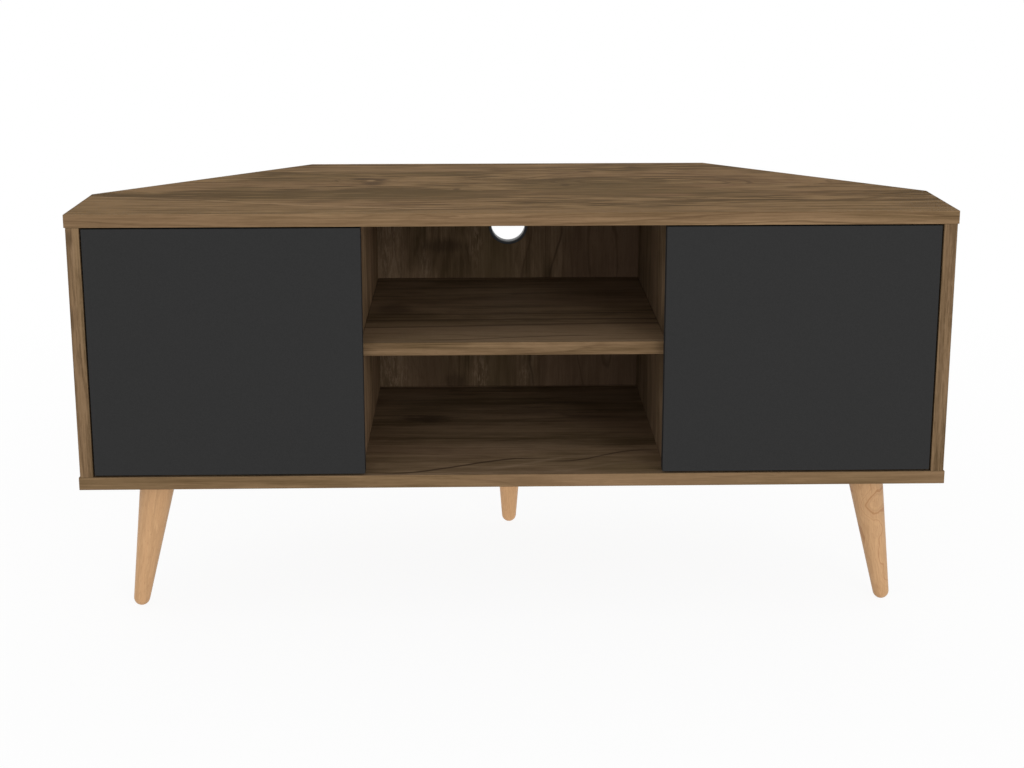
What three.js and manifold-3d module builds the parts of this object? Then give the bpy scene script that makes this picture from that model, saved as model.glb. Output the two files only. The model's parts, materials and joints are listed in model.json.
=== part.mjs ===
// Corner TV cabinet: six-sided top and bottom boards, two cupboards with handleless doors,
// an open bay with one shelf, and three splayed legs. Millimetres, +Z up, front towards -Y.
// The origin is on the floor, under the middle of the boards.

import * as THREE from 'three';
import { mergeVertices } from 'three/addons/utils/BufferGeometryUtils.js';
import Module from 'manifold-3d';

const wasm = await Module();
wasm.setup();

// Boards and overall form
const overallWidth = 1200;
const overallDepth = 450;
const sideDepth = 165;            // straight short side, from the front to the cut-off corner
const boardThickness = 18;
const innerHeight = 350;          // between the bottom and top panels
const legHeight = 200;            // floor to the underside of the bottom panel
const edgeReveal = 2;             // how far the top and bottom panels stand past the uprights
const cornerCutAngle = Math.PI / 4;
const dividerCornerDistance = 86; // divider's cupboard face to the end of the boards' back edge

// Doors
const doorThickness = 18;
const doorSideGap = 2.5;          // door edge to side panel
const doorTopGap = 2;
const doorBottomGap = 3;
const doorOverhang = 5;           // how far each door stands past its divider into the bay
const bumperGap = 2;              // door back to the divider's front edge

// Clearances shared by the small fittings
const seatGap = 0.3;
const runningGap = 0.1;
const cutOverrun = 2;

// Cable hole and its lining ring
const cableHoleDiameter = 60;
const cableHoleHeight = 87;       // centre of the hole above the centre shelf
const grommetWall = 1.2;
const grommetLipWidth = 1.5;
const grommetLipThickness = 1;

// Concealed hinges
const hingeEndDistance = 70;      // hinge centre to the door's upper or lower edge
const pivotInset = 20;            // hinge pin to the door's outer edge
const cupInset = 22.5;            // cup centre to the door's outer edge
const cupDiameter = 35;
const cupDepth = 13.2;
const cupWall = 0.8;
const cupFlangeDiameter = 40;
const cupFlangeThickness = 1.2;
const cupEarLength = 58;
const cupEarWidth = 14;
const pinDiameter = 3;
const armEyeDiameter = 5.8;
const armWidth = 10;
const armNeckReach = 17.5;        // pin to the outside of the cranked neck
const armNeckThickness = 3;
const armCrossDistance = 24;      // pin to the near face of the arm's cross bar
const armBodyHeight = 8.5;
const armLength = 50;
const armBarRise = 1.6;           // how far the bar inside the cup climbs towards the neck
const plateThickness = 2;
const plateStripLength = 46;
const plateStripWidth = 12;
const plateWingLength = 52;
const plateWingWidth = 16;
const plateWingDistance = 16;     // start of the arm's body to the wings' centre line

// Push latches
const latchLength = 60;
const latchSize = 14;
const latchSetback = 1;           // latch front behind the divider's front edge
const plungerDiameter = 8;
const plungerLength = 40;
const plungerBoreDepth = 50;
const strikeDiameter = 16;
const strikeThickness = 1.2;

// Bumper pads
const bumperDiameter = 8;
const bumperEndDistance = 40;     // pad centre to the divider's upper or lower end

// Shelf dowels
const dowelDiameter = 8;
const dowelDepthInDivider = 12;
const dowelDepthInShelf = 18;
const dowelEdgeDistance = 60;     // dowel to the shelf's front or rear edge

// Legs
const legSplay = THREE.MathUtils.degToRad(10);
const legTopDiameter = 50;
const legTipDiameter = 23;
const legTopDrop = 8;             // top of the leg below the bottom panel, along the leg
const frontLegEndDistance = 96;   // leg axis to the board's short side, at the bottom panel
const frontLegFrontDistance = 69; // leg axis to the board's front edge
const rearLegBackDistance = 95;   // leg axis to the board's back edge
const legPlateSize = 60;
const legPlateThickness = 3;
const legBossDiameter = 32;
const legBoltDiameter = 8;
const legBoltDepthInLeg = 25;

// Facets
const roundSegments = 48;
const smallRoundSegments = 24;
const domeSteps = 6;

// Places worked out from the sizes above
const halfWidth = overallWidth / 2;
const frontY = -overallDepth / 2;
const backY = overallDepth / 2;
const boardCorners = outlineCorners(0);
const outerFace = outlineCorners(edgeReveal);
const innerFace = outlineCorners(edgeReveal + boardThickness);
const bottomTopZ = legHeight + boardThickness;
const topUnderZ = bottomTopZ + innerHeight;
const sideInnerX = halfWidth - edgeReveal - boardThickness;
const backInnerY = backY - edgeReveal - boardThickness;
const doorBackY = frontY + doorThickness;
const dividerFrontY = doorBackY + bumperGap;
const dividerOuterX = boardCorners.rear[0] - dividerCornerDistance;
const halfBay = dividerOuterX - boardThickness;
const doorOuterX = sideInnerX - doorSideGap;
const doorInnerX = halfBay - doorOverhang;
const doorWidth = doorOuterX - doorInnerX;
const doorBottomZ = bottomTopZ + doorBottomGap;
const doorHeight = innerHeight - doorTopGap - doorBottomGap;
const doorMidZ = doorBottomZ + doorHeight / 2;
const shelfBottomZ = bottomTopZ + (innerHeight - boardThickness) / 2;
const shelfMidZ = shelfBottomZ + boardThickness / 2;
const shelfDepth = backInnerY - dividerFrontY;
const cableHoleZ = shelfBottomZ + boardThickness + cableHoleHeight;
const pivotX = doorOuterX - pivotInset;
const pivotY = frontY + doorThickness / 2;
const pivotToPanel = pivotInset + doorSideGap;
const pivotToDoorBack = doorThickness / 2;
const cupFromPivot = cupInset - pivotInset;

const melamineWalnut = new THREE.MeshStandardMaterial({ color: 0x6f573f, roughness: 0.55, metalness: 0 });
const melamineAnthracite = new THREE.MeshStandardMaterial({ color: 0x343434, roughness: 0.6, metalness: 0 });
const beech = new THREE.MeshStandardMaterial({ color: 0xc49a70, roughness: 0.5, metalness: 0 });
const steel = new THREE.MeshStandardMaterial({ color: 0xb4b6b8, roughness: 0.35, metalness: 1 });
const greyPlastic = new THREE.MeshStandardMaterial({ color: 0x4b4d50, roughness: 0.5, metalness: 0 });
const clearRubber = new THREE.MeshStandardMaterial({ color: 0xbfbfba, roughness: 0.4, metalness: 0 });

const cabinet = new THREE.Group();

function addPart(parent, name, geometry, material, x = 0, y = 0, z = 0) {
  const mesh = new THREE.Mesh(geometry, material);
  mesh.name = name;
  mesh.position.set(x, y, z);
  parent.add(mesh);
  return mesh;
}

// A block centred on its place in X and Y and standing on z = 0
function block(width, depth, height) {
  const geometry = new THREE.BoxGeometry(width, depth, height);
  geometry.translate(0, 0, height / 2);
  return geometry;
}

// An outline in plan, raised along Z
function raised(points, height) {
  const shape = new THREE.Shape(points.map(([x, y]) => new THREE.Vector2(x, y)));
  return new THREE.ExtrudeGeometry(shape, { depth: height, bevelEnabled: false });
}

function rodZ(diameter, length, segments = smallRoundSegments) {
  const geometry = new THREE.CylinderGeometry(diameter / 2, diameter / 2, length, segments);
  geometry.rotateX(Math.PI / 2);
  return geometry;
}

function rodY(diameter, length, segments = smallRoundSegments) {
  return new THREE.CylinderGeometry(diameter / 2, diameter / 2, length, segments);
}

function rodX(diameter, length, segments = smallRoundSegments) {
  const geometry = new THREE.CylinderGeometry(diameter / 2, diameter / 2, length, segments);
  geometry.rotateZ(Math.PI / 2);
  return geometry;
}

// A ring or knob turned about the Y axis from [radius, along] points
function turnedY(profile, segments = roundSegments) {
  const points = profile.map(([radius, along]) => new THREE.Vector2(radius, along));
  return new THREE.LatheGeometry(points, segments);
}

function toSolid(geometry) {
  const bare = new THREE.BufferGeometry();
  bare.setAttribute('position', geometry.getAttribute('position').clone());
  if (geometry.index) {
    bare.setIndex(geometry.index.clone());
  }
  const merged = mergeVertices(bare);
  return new wasm.Manifold(new wasm.Mesh({
    numProp: 3,
    vertProperties: new Float32Array(merged.getAttribute('position').array),
    triVerts: new Uint32Array(merged.index.array),
  }));
}

function toGeometry(solid) {
  const mesh = solid.getMesh();
  const geometry = new THREE.BufferGeometry();
  geometry.setAttribute('position', new THREE.BufferAttribute(mesh.vertProperties, 3));
  geometry.setIndex(new THREE.BufferAttribute(mesh.triVerts, 1));
  return geometry;
}

function joined(...geometries) {
  return toGeometry(geometries.map(toSolid).reduce((whole, piece) => whole.add(piece)));
}

function cut(geometry, ...cutters) {
  return toGeometry(cutters.map(toSolid).reduce((whole, cutter) => whole.subtract(cutter), toSolid(geometry)));
}

// The right-hand side corner and rear corner of the board outline, set in by a distance
function outlineCorners(inset) {
  const across = Math.cos(cornerCutAngle);
  const along = Math.sin(cornerCutAngle);
  const reach = halfWidth * across + (frontY + sideDepth) * along - inset;
  const sideX = halfWidth - inset;
  const rearY = backY - inset;
  return {
    side: [sideX, (reach - sideX * across) / along],
    rear: [(reach - rearY * along) / across, rearY],
  };
}

function sixSidedBoard() {
  const rightHalf = [[halfWidth, frontY], boardCorners.side, boardCorners.rear];
  const leftHalf = rightHalf.map(([x, y]) => [-x, y]).reverse();
  return raised([...rightHalf, ...leftHalf], boardThickness);
}

function mirroredIf(isLeft, points) {
  return isLeft ? points.map(([x, y]) => [-x, y]).reverse() : points;
}

// Upright panels under the board outline, mitred where they meet
function sidePanel(isLeft) {
  const outline = [[innerFace.side[0], frontY], [outerFace.side[0], frontY], outerFace.side, innerFace.side];
  return raised(mirroredIf(isLeft, outline), innerHeight);
}

function diagonalPanel(isLeft) {
  const rearTurn = Math.PI / 2 - cornerCutAngle;
  const sideGap = seatGap / Math.cos(cornerCutAngle / 2);
  const rearGap = seatGap / Math.cos(rearTurn / 2);
  const slid = ([x, y], distance) => [
    x - distance * Math.sin(cornerCutAngle),
    y + distance * Math.cos(cornerCutAngle),
  ];
  const outline = [
    slid(innerFace.side, sideGap),
    slid(outerFace.side, sideGap),
    slid(outerFace.rear, -rearGap),
    slid(innerFace.rear, -rearGap),
  ];
  return raised(mirroredIf(isLeft, outline), innerHeight);
}

function backPanel() {
  const [outerX, outerY] = outerFace.rear;
  const [innerX, innerY] = innerFace.rear;
  const outline = [[-innerX, innerY], [innerX, innerY], [outerX, outerY], [-outerX, outerY]];
  const hole = rodY(cableHoleDiameter, boardThickness + cutOverrun * 2, roundSegments);
  hole.translate(0, backInnerY + boardThickness / 2, cableHoleZ - bottomTopZ);
  return cut(raised(outline, innerHeight), hole);
}

// Shelf dowels stand half in the divider and half in the shelf's end
const dowelPlaces = [
  ['front', dividerFrontY + dowelEdgeDistance],
  ['rear', backInnerY - dowelEdgeDistance],
];
const dowelLength = dowelDepthInDivider + dowelDepthInShelf - seatGap * 2;
const dowelShift = (dowelDepthInDivider - dowelDepthInShelf) / 2;

function dowelBore(depth, overrun) {
  return rodX(dowelDiameter + seatGap * 2, depth + overrun);
}

function divider(sign) {
  const panel = block(boardThickness, shelfDepth, innerHeight);
  const bores = dowelPlaces.map(([, y]) => {
    const bore = dowelBore(dowelDepthInDivider, cutOverrun);
    bore.translate(
      sign * (dowelDepthInDivider - cutOverrun - boardThickness) / 2,
      y - dividerFrontY - shelfDepth / 2,
      shelfMidZ - bottomTopZ,
    );
    return bore;
  });
  return cut(panel, ...bores);
}

function centreShelf() {
  const board = block(halfBay * 2, shelfDepth, boardThickness);
  const bores = [];
  for (const sign of [-1, 1]) {
    for (const [, y] of dowelPlaces) {
      const bore = dowelBore(dowelDepthInShelf, cutOverrun);
      bore.translate(
        sign * (halfBay + (cutOverrun - dowelDepthInShelf) / 2),
        y - dividerFrontY - shelfDepth / 2,
        boardThickness / 2,
      );
      bores.push(bore);
    }
  }
  return cut(board, ...bores);
}

function buildCarcass() {
  const dividerMidX = halfBay + boardThickness / 2;
  const shelfMidY = dividerFrontY + shelfDepth / 2;
  addPart(cabinet, 'bottom_panel', sixSidedBoard(), melamineWalnut, 0, 0, legHeight);
  addPart(cabinet, 'top_panel', sixSidedBoard(), melamineWalnut, 0, 0, topUnderZ);
  addPart(cabinet, 'left_side_panel', sidePanel(true), melamineWalnut, 0, 0, bottomTopZ);
  addPart(cabinet, 'right_side_panel', sidePanel(false), melamineWalnut, 0, 0, bottomTopZ);
  addPart(cabinet, 'left_diagonal_panel', diagonalPanel(true), melamineWalnut, 0, 0, bottomTopZ);
  addPart(cabinet, 'right_diagonal_panel', diagonalPanel(false), melamineWalnut, 0, 0, bottomTopZ);
  addPart(cabinet, 'back_panel', backPanel(), melamineWalnut, 0, 0, bottomTopZ);
  addPart(cabinet, 'left_divider', divider(-1), melamineWalnut, -dividerMidX, shelfMidY, bottomTopZ);
  addPart(cabinet, 'right_divider', divider(1), melamineWalnut, dividerMidX, shelfMidY, bottomTopZ);
  addPart(cabinet, 'centre_shelf', centreShelf(), melamineWalnut, 0, shelfMidY, shelfBottomZ);
  for (const [side, sign] of [['left', -1], ['right', 1]]) {
    for (const [place, y] of dowelPlaces) {
      const dowel = rodX(dowelDiameter, dowelLength);
      const x = sign * (halfBay + dowelShift);
      addPart(cabinet, `${side}_${place}_shelf_dowel`, dowel, beech, x, y, shelfMidZ);
    }
  }
}

// A thin sleeve through the back panel with a narrow lip on the bay side
function buildGrommet() {
  const sleeveOuter = cableHoleDiameter / 2 - seatGap;
  const inner = sleeveOuter - grommetWall;
  const lipOuter = cableHoleDiameter / 2 + grommetLipWidth;
  const profile = [
    [inner, -grommetLipThickness],
    [lipOuter, -grommetLipThickness],
    [lipOuter, 0],
    [sleeveOuter, 0],
    [sleeveOuter, boardThickness],
    [inner, boardThickness],
    [inner, -grommetLipThickness],
  ];
  addPart(cabinet, 'cable_grommet', turnedY(profile), greyPlastic, 0, backInnerY, cableHoleZ);
}

// Doors, each with two cup recesses in its back. inward is +1 where the bay lies towards +X.
const hingeHeights = [
  ['upper', doorBottomZ + doorHeight - hingeEndDistance],
  ['lower', doorBottomZ + hingeEndDistance],
];

function doorBoard(inward) {
  const board = block(doorWidth, doorThickness, doorHeight);
  const recessDepth = cupDepth + seatGap;
  const recesses = hingeHeights.map(([, z]) => {
    const recess = rodY(cupDiameter + seatGap * 2, recessDepth + cutOverrun, roundSegments);
    recess.translate(
      inward * (cupInset - doorWidth / 2),
      (doorThickness - recessDepth + cutOverrun) / 2,
      z - doorBottomZ,
    );
    return recess;
  });
  return cut(board, ...recesses);
}

// The hinge pieces are drawn about the pin, with x towards the bay and y into the cabinet
function hingeCup() {
  const outer = rodY(cupDiameter, cupDepth, roundSegments);
  outer.translate(0, pivotToDoorBack - cupDepth / 2, 0);
  const flange = rodY(cupFlangeDiameter, cupFlangeThickness, roundSegments);
  const ear = new THREE.BoxGeometry(cupEarWidth, cupFlangeThickness, cupEarLength);
  const flangeY = pivotToDoorBack + cupFlangeThickness / 2;
  flange.translate(0, flangeY, 0);
  ear.translate(0, flangeY, 0);
  const hollowDepth = cupDepth - cupWall + cupFlangeThickness;
  const hollow = rodY(cupDiameter - cupWall * 2, hollowDepth + cutOverrun, roundSegments);
  hollow.translate(0, pivotToDoorBack + cupFlangeThickness + (cutOverrun - hollowDepth) / 2, 0);
  return cut(joined(outer, flange, ear), hollow);
}

function hingeArm(inward) {
  const eyeRadius = armEyeDiameter / 2;
  const neckInner = armNeckReach - armNeckThickness;
  const crossFar = armCrossDistance + armNeckThickness;
  const bodyBase = plateThickness - pivotToPanel;
  const bodyTop = bodyBase + armBodyHeight;
  const bodyEnd = armCrossDistance + armLength;
  const outline = [
    [0, -eyeRadius],
    [neckInner, armBarRise - eyeRadius],
    [armNeckReach, armBarRise],
    [armNeckReach, crossFar],
    [bodyTop, crossFar],
    [bodyTop, bodyEnd],
    [bodyBase, bodyEnd],
    [bodyBase, armCrossDistance],
    [neckInner, armCrossDistance],
    [neckInner, armBarRise + eyeRadius],
    [0, eyeRadius],
  ].map(([x, y]) => [inward * x, y]);
  const hook = raised(outline, armWidth);
  hook.translate(0, 0, -armWidth / 2);
  const eye = rodZ(armEyeDiameter, armWidth);
  const bore = rodZ(pinDiameter + runningGap * 2, armWidth + cutOverrun);
  return cut(joined(hook, eye), bore);
}

function hingePlate() {
  const strip = new THREE.BoxGeometry(plateThickness, plateStripLength, plateStripWidth);
  const wings = new THREE.BoxGeometry(plateThickness, plateWingWidth, plateWingLength);
  strip.translate(0, plateStripLength / 2, 0);
  wings.translate(0, plateWingDistance, 0);
  return joined(strip, wings);
}

function hingePin() {
  const innerRadius = cupDiameter / 2 - cupWall;
  const farSide = cupFromPivot + pinDiameter / 2;
  const halfChord = Math.sqrt(innerRadius ** 2 - farSide ** 2);
  return rodZ(pinDiameter, (halfChord - seatGap) * 2);
}

function buildDoor(side, inward) {
  const sign = -inward;
  const doorMidX = sign * (doorInnerX + doorWidth / 2);
  const doorMidY = frontY + doorThickness / 2;
  addPart(cabinet, `${side}_door`, doorBoard(inward), melamineAnthracite, doorMidX, doorMidY, doorBottomZ);
  for (const [level, z] of hingeHeights) {
    const hinge = new THREE.Group();
    hinge.position.set(sign * pivotX, pivotY, z);
    const name = `${side}_${level}_hinge`;
    addPart(hinge, `${name}_cup`, hingeCup(), steel, inward * cupFromPivot, 0, 0);
    addPart(hinge, `${name}_pin`, hingePin(), steel);
    addPart(hinge, `${name}_arm`, hingeArm(inward), steel);
    const plateX = inward * (plateThickness / 2 - pivotToPanel);
    addPart(hinge, `${name}_plate`, hingePlate(), steel, plateX, armCrossDistance, 0);
    cabinet.add(hinge);
  }
}

// Push latches on the dividers' cupboard faces, half way up the doors
function latchBody() {
  const body = new THREE.BoxGeometry(latchSize, latchLength, latchSize);
  body.translate(0, latchLength / 2, 0);
  const bore = rodY(plungerDiameter + seatGap * 2, plungerBoreDepth + cutOverrun);
  bore.translate(0, (plungerBoreDepth - cutOverrun) / 2, 0);
  return cut(body, bore);
}

function buildLatch(side, inward) {
  const x = -inward * (dividerOuterX + latchSize / 2);
  const strikeMidY = doorBackY + strikeThickness / 2;
  const plungerTipY = doorBackY + strikeThickness + seatGap;
  const plungerMidY = plungerTipY + plungerLength / 2;
  addPart(cabinet, `${side}_latch_body`, latchBody(), greyPlastic, x, dividerFrontY + latchSetback, doorMidZ);
  addPart(cabinet, `${side}_latch_plunger`, rodY(plungerDiameter, plungerLength), greyPlastic, x, plungerMidY, doorMidZ);
  addPart(cabinet, `${side}_latch_strike`, rodY(strikeDiameter, strikeThickness), steel, x, strikeMidY, doorMidZ);
}

function buildBumpers(side, sign) {
  const thickness = bumperGap - seatGap;
  const x = sign * (halfBay + boardThickness / 2);
  const y = dividerFrontY - thickness / 2;
  const heights = [['upper', topUnderZ - bumperEndDistance], ['lower', bottomTopZ + bumperEndDistance]];
  for (const [level, z] of heights) {
    addPart(cabinet, `${side}_${level}_bumper`, rodY(bumperDiameter, thickness), clearRubber, x, y, z);
  }
}

// Legs, drawn along -Z from the point where the leg's axis meets the bottom panel
function legProfile() {
  const tipRadius = legTipDiameter / 2;
  const domeCentre = -(legHeight - tipRadius) / Math.cos(legSplay);
  const taper = Math.asin((legTopDiameter / 2 - tipRadius) / (-legTopDrop - domeCentre));
  const points = [[0, -legTopDrop], [legTopDiameter / 2, -legTopDrop]];
  const firstAngle = Math.PI / 2 - taper;
  for (let step = 0; step <= domeSteps; step += 1) {
    const angle = firstAngle + (legSplay - firstAngle) * (step / domeSteps);
    points.push([tipRadius * Math.sin(angle), domeCentre - tipRadius * Math.cos(angle)]);
  }
  points.push([0, domeCentre - tipRadius]);
  return points.reverse();
}

function legWood() {
  const turned = turnedY(legProfile());
  turned.rotateX(Math.PI / 2);
  const boltBore = rodZ(legBoltDiameter + seatGap * 2, legBoltDepthInLeg + cutOverrun);
  boltBore.translate(0, 0, -legTopDrop + (cutOverrun - legBoltDepthInLeg) / 2);
  return cut(turned, boltBore);
}

// A flat plate under the bottom panel with a boss that is square to the leaning leg
function legPlate(splayTurn) {
  const plate = block(legPlateSize, legPlateSize, legPlateThickness);
  plate.translate(0, 0, -legPlateThickness);
  const bossLength = legTopDrop - seatGap;
  const boss = rodZ(legBossDiameter, bossLength, roundSegments);
  boss.translate(0, 0, -bossLength / 2);
  boss.applyMatrix4(splayTurn);
  const abovePlate = block(legPlateSize, legPlateSize, legPlateSize);
  const boltHole = rodZ(legBoltDiameter + seatGap * 2, legPlateSize);
  boltHole.applyMatrix4(splayTurn);
  return cut(joined(plate, boss), abovePlate, boltHole);
}

function legBolt() {
  const length = legBoltDepthInLeg + legTopDrop - legPlateThickness;
  const bolt = rodZ(legBoltDiameter, length);
  bolt.translate(0, 0, seatGap - legTopDrop - legBoltDepthInLeg + length / 2);
  return bolt;
}

function buildLeg(name, x, y, heading) {
  const splayTurn = new THREE.Matrix4().makeRotationY(-legSplay);
  const leg = new THREE.Group();
  leg.position.set(x, y, legHeight);
  leg.rotation.set(0, 0, heading);
  const leaning = new THREE.Group();
  leaning.rotation.set(0, -legSplay, 0);
  addPart(leg, `${name}_plate`, legPlate(splayTurn), steel);
  addPart(leaning, name, legWood(), beech);
  addPart(leaning, `${name}_bolt`, legBolt(), steel);
  leg.add(leaning);
  cabinet.add(leg);
}

buildCarcass();
buildGrommet();
for (const [side, inward] of [['left', 1], ['right', -1]]) {
  buildDoor(side, inward);
  buildLatch(side, inward);
  buildBumpers(side, -inward);
}
const frontLegX = halfWidth - frontLegEndDistance;
const frontLegY = frontY + frontLegFrontDistance;
buildLeg('left_leg', -frontLegX, frontLegY, Math.PI);
buildLeg('right_leg', frontLegX, frontLegY, 0);
buildLeg('rear_leg', 0, backY - rearLegBackDistance, Math.PI / 2);

export default cabinet;
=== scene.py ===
import bmesh
import bpy
import json
import math
from mathutils import Euler, Matrix, Vector


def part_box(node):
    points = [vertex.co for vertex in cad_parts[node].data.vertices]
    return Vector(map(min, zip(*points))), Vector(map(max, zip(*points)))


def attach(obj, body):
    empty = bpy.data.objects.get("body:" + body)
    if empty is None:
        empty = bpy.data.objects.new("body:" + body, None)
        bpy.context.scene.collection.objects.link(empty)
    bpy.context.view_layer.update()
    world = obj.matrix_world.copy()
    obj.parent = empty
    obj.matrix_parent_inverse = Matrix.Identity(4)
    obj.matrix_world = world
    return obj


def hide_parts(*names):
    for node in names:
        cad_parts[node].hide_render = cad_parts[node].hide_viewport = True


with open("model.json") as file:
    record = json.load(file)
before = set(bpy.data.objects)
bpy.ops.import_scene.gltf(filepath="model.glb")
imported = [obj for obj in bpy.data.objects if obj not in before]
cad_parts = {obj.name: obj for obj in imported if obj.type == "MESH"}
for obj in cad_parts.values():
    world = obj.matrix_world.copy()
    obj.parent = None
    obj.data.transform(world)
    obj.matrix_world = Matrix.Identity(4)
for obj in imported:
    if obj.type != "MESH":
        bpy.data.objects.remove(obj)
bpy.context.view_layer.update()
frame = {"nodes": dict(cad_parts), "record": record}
print("frame loaded:", len(frame["nodes"]), "nodes")

mm = 0.001
sides = {"left": 1, "right": -1}         # the sign points from that door towards the bay
levels = ("upper", "lower")
bodyOfNode = {node: body for body, nodes in frame["record"]["behaviour"]["bodies"].items() for node in nodes}


def middle(box):
    return (box[0] + box[1]) / 2


# Colours are written as they should show, 0 to 255
def shown(red, green, blue):
    def linear(value):
        value = value / 255
        return value / 12.92 if value <= 0.04045 else ((value + 0.055) / 1.055) ** 2.4
    return (linear(red), linear(green), linear(blue), 1)


# Node helpers: a plain value sets an input, and a socket is linked to it
def feed(tree, inputs, values):
    for key, value in values.items():
        if isinstance(value, bpy.types.NodeSocket):
            tree.links.new(value, inputs[key])
        else:
            inputs[key].default_value = value


def put(tree, kind, values=None, **settings):
    node = tree.nodes.new(kind)
    for key, value in settings.items():
        setattr(node, key, value)
    feed(tree, node.inputs, values or {})
    return node


def mathNode(tree, operation, first, second=0.0, third=None):
    inputs = {0: first, 1: second}
    if third is not None:
        inputs[2] = third
    return put(tree, "ShaderNodeMath", inputs, operation=operation).outputs[0]


def times(tree, first, second):
    return mathNode(tree, "MULTIPLY", first, second)


# Moves a value that runs from 0 to 1 so that it lies around zero
def centred(tree, value):
    return mathNode(tree, "SUBTRACT", value, 0.5)


def vectorNode(tree, operation, first, second=(0, 0, 0)):
    node = put(tree, "ShaderNodeVectorMath", {0: first, 1: second}, operation=operation)
    return node.outputs["Value" if operation in ("DOT_PRODUCT", "LENGTH") else "Vector"]


def noise(tree, vector, scale=1.0, detail=2.0, roughness=0.5, distortion=0.0):
    return put(tree, "ShaderNodeTexNoise", {
        "Vector": vector, "Scale": scale, "Detail": detail,
        "Roughness": roughness, "Distortion": distortion,
    }).outputs[0]


# Noise with its own number of repeats per metre along each axis
def stretchedNoise(tree, vector, repeats, detail=2.0, roughness=0.5, distortion=0.0):
    return noise(tree, vectorNode(tree, "MULTIPLY", vector, repeats), 1.0, detail, roughness, distortion)


def lineNoise(tree, place, scale, detail=2.0):
    inputs = {"W": place, "Scale": scale, "Detail": detail}
    return put(tree, "ShaderNodeTexNoise", inputs, noise_dimensions="1D").outputs[0]


def ramp(tree, value, low, high, floor=0.0, ceiling=1.0):
    inputs = {"Value": value, "From Min": low, "From Max": high, "To Min": floor, "To Max": ceiling}
    return put(tree, "ShaderNodeMapRange", inputs, interpolation_type="SMOOTHSTEP").outputs[0]


# Inputs 0, 6 and 7 of a colour mix are its factor and its two colours, and output 2 is the result
def mixColor(tree, factor, first, second, blend="MIX"):
    inputs = {0: factor, 6: first, 7: second}
    return put(tree, "ShaderNodeMix", inputs, data_type="RGBA", blend_type=blend).outputs[2]


# The way from a centre to each place, in multiples of a size
def fromCentre(tree, vector, centre, size):
    return vectorNode(tree, "DIVIDE", vectorNode(tree, "SUBTRACT", vector, centre), size)


# A smooth hill that falls away with the square of a distance
def hill(tree, squared, height):
    falling = times(tree, squared, -1.0)
    return times(tree, mathNode(tree, "EXPONENT", falling), height)


def newGroup(name, vectors, numbers, outputs):
    tree = bpy.data.node_groups.new(name, "ShaderNodeTree")
    sockets = [(label, "INPUT", "NodeSocketVector") for label in vectors]
    sockets += [(label, "INPUT", "NodeSocketFloat") for label in numbers]
    sockets += [(label, "OUTPUT", "NodeSocketFloat") for label in outputs]
    for label, way, kind in sockets:
        tree.interface.new_socket(name=label, in_out=way, socket_type=kind)
    entry = tree.nodes.new("NodeGroupInput")
    leave = tree.nodes.new("NodeGroupOutput")
    return tree, entry.outputs, leave.inputs


def useGroup(tree, group, inputs):
    return put(tree, "ShaderNodeGroup", inputs, node_tree=group).outputs


# Layers of the walnut print: repeats per metre along, across and through the board, then the noise's
# detail, roughness and distortion
walnutLayers = {
    "slow": ((1.2, 5.0, 1.0), 1.5, 0.45),
    "quiver": ((7.0, 34.0, 1.0), 3.0, 0.55),
    "streak": ((2.5, 80.0, 1.0), 4.0, 0.85),
    "dash": ((10.0, 130.0, 1.0), 2.5, 0.7, 0.3),
    "fibre": ((14.0, 420.0, 1.0), 2.0, 0.6),
    "blotch": ((2.4, 11.0, 1.0), 3.0, 0.5),
    "mottle": ((8.0, 34.0, 1.0), 5.0, 0.62, 0.4),
    "pore": ((70.0, 1500.0, 1.0), 1.0, 0.5),
}
# A range says from which noise value a mark begins to show, and at which it shows in full
walnutPrint = {
    "crownSize": (0.26, 0.075, 1.0),
    "knotSize": (0.034, 0.020, 1.0),
    "quiverShare": 1.1,
    "broadRings": 0.42,
    "narrowRings": 2.3,
    "ringDetail": 3.0,
    "blotchShare": 0.20,
    "fibreShare": 0.16,
    "stripeRange": (0.56, 0.74),
    "flushRange": (0.42, 0.66),
    "poreRange": (0.60, 0.70),
}


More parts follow.
